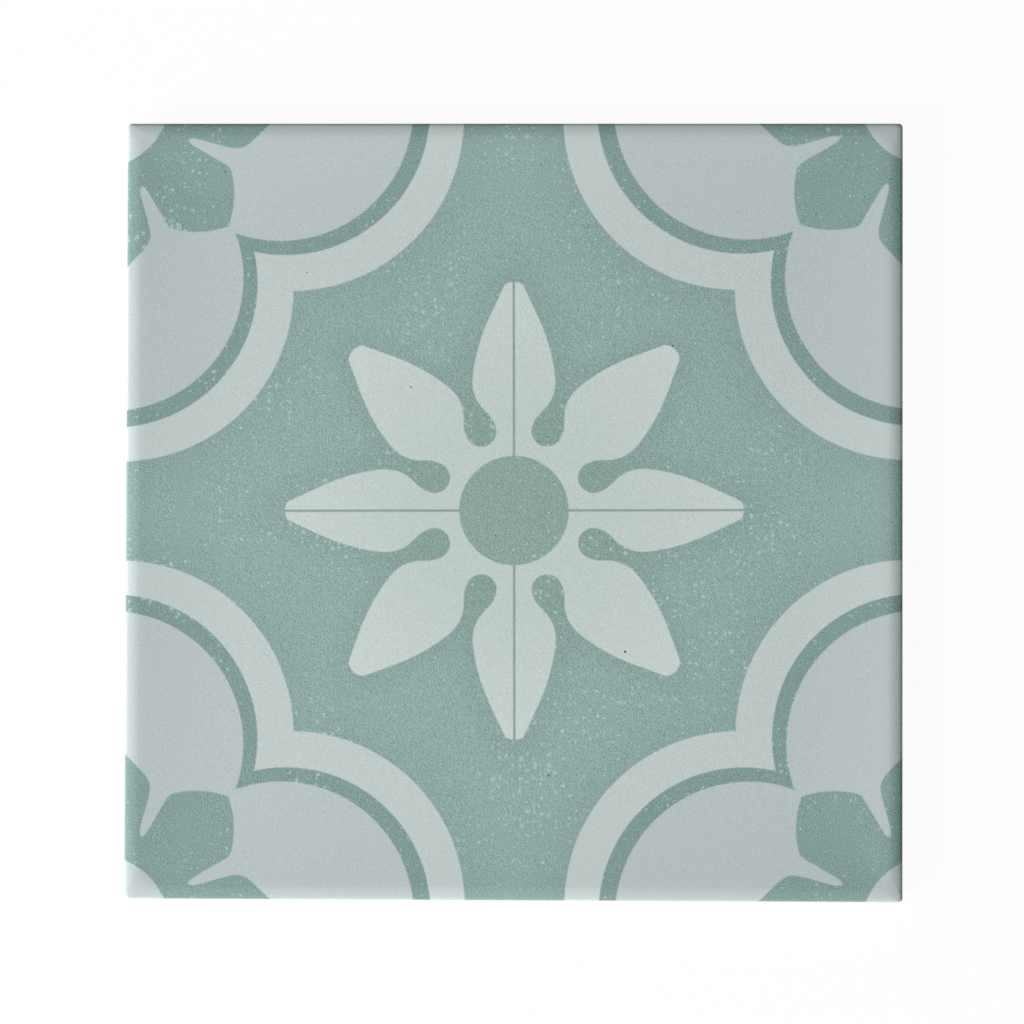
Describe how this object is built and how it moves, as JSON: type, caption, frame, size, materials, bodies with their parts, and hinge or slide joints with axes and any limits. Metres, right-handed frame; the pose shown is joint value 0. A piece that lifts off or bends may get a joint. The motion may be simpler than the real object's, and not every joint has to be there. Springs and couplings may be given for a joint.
{
  "type": "textured tile",
  "caption": "Square glazed ceramic tile with a slightly dished, fine-grained matt face, rolled edges, a printed petal and lobe pattern, and a keyed back for adhesive.",
  "frame": {"origin": "middle of the bedding plane, which is the plane of the ribs on the back", "axes": "+Z out of the printed face, +X and +Y along the sides, +Y up in the picture"},
  "size_m": [0.2, 0.2, 0.0085],
  "materials": {
    "glazed_body": "matte"
  },
  "bodies": {
    "root": {"tile": "glazed_body"}
  },
  "joints": []
}
